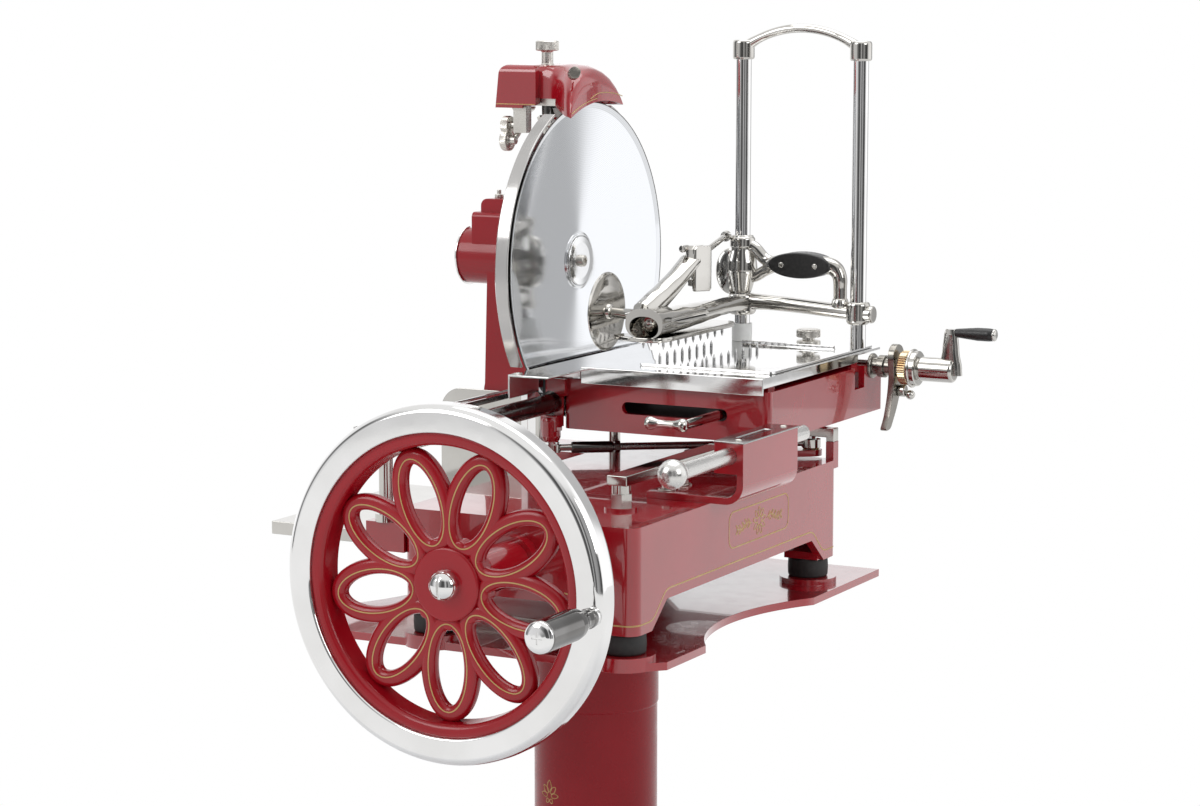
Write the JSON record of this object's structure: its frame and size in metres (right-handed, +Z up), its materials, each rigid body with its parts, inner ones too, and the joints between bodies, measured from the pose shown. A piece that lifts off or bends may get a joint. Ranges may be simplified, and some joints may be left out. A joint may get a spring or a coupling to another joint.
{
  "type": "hand crank meat slicer",
  "caption": "Hand-cranked flywheel meat slicer on a round pedestal, with an upright round knife, a sliding carriage, a spiked meat clamp and a knife sharpener.",
  "frame": {"origin": "centre of the pedestal's underside, on the floor", "axes": "+Z up; the flywheel faces -Y and the carriage travels along Y; +X is the operator's right, and the meat is fed along -X towards the knife"},
  "size_m": [0.64, 0.871, 1.378],
  "materials": {
    "red_paint": "high gloss enamel",
    "chrome": "polished",
    "nickel": "satin nickel plate",
    "steel": "machined",
    "knife_steel": "polished hollow ground",
    "brass": "turned",
    "rubber": "matt",
    "black_plastic": "satin",
    "white_plastic": "smooth",
    "stone": "fine abrasive"
  },
  "bodies": {
    "base": {"pedestal_foot": "red_paint", "pedestal_column": "red_paint", "pedestal_plate": "red_paint", "rubber_feet": "rubber", "base_casting": "red_paint", "slide_rod": "chrome", "rod_posts": "chrome", "rail_bar": "chrome", "thickness_housing": "red_paint", "scale_plate": "chrome", "machine_screws": "chrome", "blade_column": "red_paint", "bearing_ring": "chrome", "knife_guard": "chrome", "sharpener_cover": "red_paint", "stone_carrier": "nickel", "slice_tray": "chrome", "slice_stop": "nickel", "gutter": "chrome"},
    "flywheel": {"flywheel_rim": "chrome", "flywheel_flower": "red_paint", "flywheel_shaft": "chrome"},
    "wheel_grip": {"wheel_grip": "chrome"},
    "crank": {"crank_shaft": "steel", "crank_arm": "red_paint"},
    "knife": {"knife_blade": "knife_steel", "knife_hub_plate": "chrome", "knife_shaft": "steel"},
    "carriage": {"carriage_body": "red_paint", "carriage_sleeve": "chrome", "table_plate": "chrome", "feed_flange": "chrome"},
    "tie_rod": {"tie_rod": "steel", "tie_rod_ends": "chrome", "tie_rod_fasteners": "chrome", "brass_washer": "brass"},
    "roller": {"carriage_roller": "steel"},
    "trip_lever": {"trip_lever": "nickel"},
    "release_lever": {"release_lever": "chrome"},
    "feed": {"feed_screw": "nickel", "feed_crank": "chrome"},
    "feed_grip": {"feed_grip": "black_plastic"},
    "meat_table": {"meat_plate": "chrome", "feed_nut": "brass", "table_spikes": "steel", "clamp_posts": "chrome", "post_arch": "chrome", "nylon_stop": "white_plastic"},
    "table_knob": {"table_knob": "chrome"},
    "clamp": {"clamp_bar": "chrome", "clamp_spikes": "steel", "clamp_head": "chrome", "clamp_grip": "black_plastic", "guard_disc": "chrome", "clamp_arm": "chrome"},
    "clamp_screw": {"clamp_screw": "chrome"},
    "thickness_rod": {"thickness_rod": "chrome"},
    "sharpener_knob": {"sharpener_knob": "chrome"},
    "side_knob": {"side_knob": "chrome"},
    "grinding_stone": {"grinding_stone": "stone"}
  },
  "joints": [
    {"name": "flywheel_spin", "type": "hinge", "parent": "base", "child": "flywheel", "pos_m": [0.045, -0.376, 0.87], "axis": [0, 1, 0], "continuous": true},
    {"name": "wheel_grip_spin", "type": "hinge", "parent": "flywheel", "child": "wheel_grip", "pos_m": [0.2076, -0.45, 0.85863], "axis": [0, 1, 0], "continuous": true},
    {"name": "crank_spin", "type": "hinge", "parent": "base", "child": "crank", "pos_m": [0.045, 0.16, 0.9], "axis": [0, 0, 1], "continuous": true},
    {"name": "knife_spin", "type": "hinge", "parent": "base", "child": "knife", "pos_m": [-0.105, 0.18, 1.119], "axis": [1, 0, 0], "continuous": true},
    {"name": "carriage_slide", "type": "slide", "parent": "base", "child": "carriage", "axis": [0, 1, 0], "range_m": [-0.285, 0]},
    {"name": "tie_rod_swing", "type": "hinge", "parent": "carriage", "child": "tie_rod", "pos_m": [-0.0895, 0.065, 0.9275], "axis": [0, 0, 1], "range_deg": [-0.5, 36]},
    {"name": "roller_spin", "type": "hinge", "parent": "carriage", "child": "roller", "pos_m": [0.112, 0.2, 0.9559], "axis": [1, 0, 0], "continuous": true},
    {"name": "trip_lever_swing", "type": "hinge", "parent": "carriage", "child": "trip_lever", "pos_m": [0.195, 0.34, 1.001], "axis": [1, 0, 0], "range_deg": [-1, 111]},
    {"name": "release_lever_swing", "type": "hinge", "parent": "carriage", "child": "release_lever", "pos_m": [0.108, 0, 0.976], "axis": [0, 1, 0], "range_deg": [-30, 60]},
    {"name": "meat_feed", "type": "slide", "parent": "carriage", "child": "meat_table", "axis": [1, 0, 0], "range_m": [-0.044, 0]},
    {"name": "feed_crank_spin", "type": "hinge", "parent": "carriage", "child": "feed", "pos_m": [0.236, 0.34, 1.001], "axis": [1, 0, 0], "continuous": true},
    {"name": "feed_grip_spin", "type": "hinge", "parent": "feed", "child": "feed_grip", "pos_m": [0.27, 0.34, 1.043], "axis": [1, 0, 0], "continuous": true},
    {"name": "table_knob_turn", "type": "hinge", "parent": "meat_table", "child": "table_knob", "pos_m": [0.097, 0.322, 1.03], "axis": [0, 0, 1], "range_deg": [-180, 180]},
    {"name": "clamp_lift", "type": "slide", "parent": "meat_table", "child": "clamp", "axis": [0, 0, 1], "range_m": [0, 0.195]},
    {"name": "clamp_screw_turn", "type": "hinge", "parent": "clamp", "child": "clamp_screw", "pos_m": [0.004, 0.221, 1.1], "axis": [0, 0, 1], "range_deg": [-180, 180]},
    {"name": "thickness_slide", "type": "slide", "parent": "base", "child": "thickness_rod", "axis": [0, 1, 0], "range_m": [-0.03, 0.02]},
    {"name": "sharpener_knob_turn", "type": "hinge", "parent": "base", "child": "sharpener_knob", "pos_m": [-0.157, 0.18, 1.34], "axis": [0, 0, 1], "range_deg": [-180, 180]},
    {"name": "side_knob_turn", "type": "hinge", "parent": "base", "child": "side_knob", "pos_m": [-0.19, 0.152, 1.268], "axis": [1, 0, 0], "range_deg": [-180, 180]},
    {"name": "stone_spin", "type": "hinge", "parent": "base", "child": "grinding_stone", "pos_m": [-0.125, 0.159, 1.284], "axis": [0, 0, 1], "continuous": true}
  ],
  "couplings": [
    {"joint": "crank_spin", "follows": "flywheel_spin", "ratio": -0.5},
    {"joint": "knife_spin", "follows": "flywheel_spin", "ratio": -2.5},
    {"joint": "tie_rod_swing", "follows": "carriage_slide", "rad_per_m": -2.168},
    {"joint": "roller_spin", "follows": "carriage_slide", "rad_per_m": -111.11},
    {"joint": "trip_lever_swing", "follows": "carriage_slide", "rad_per_m": -6.74},
    {"joint": "feed_crank_spin", "follows": "meat_feed", "rad_per_m": 785.4}
  ]
}
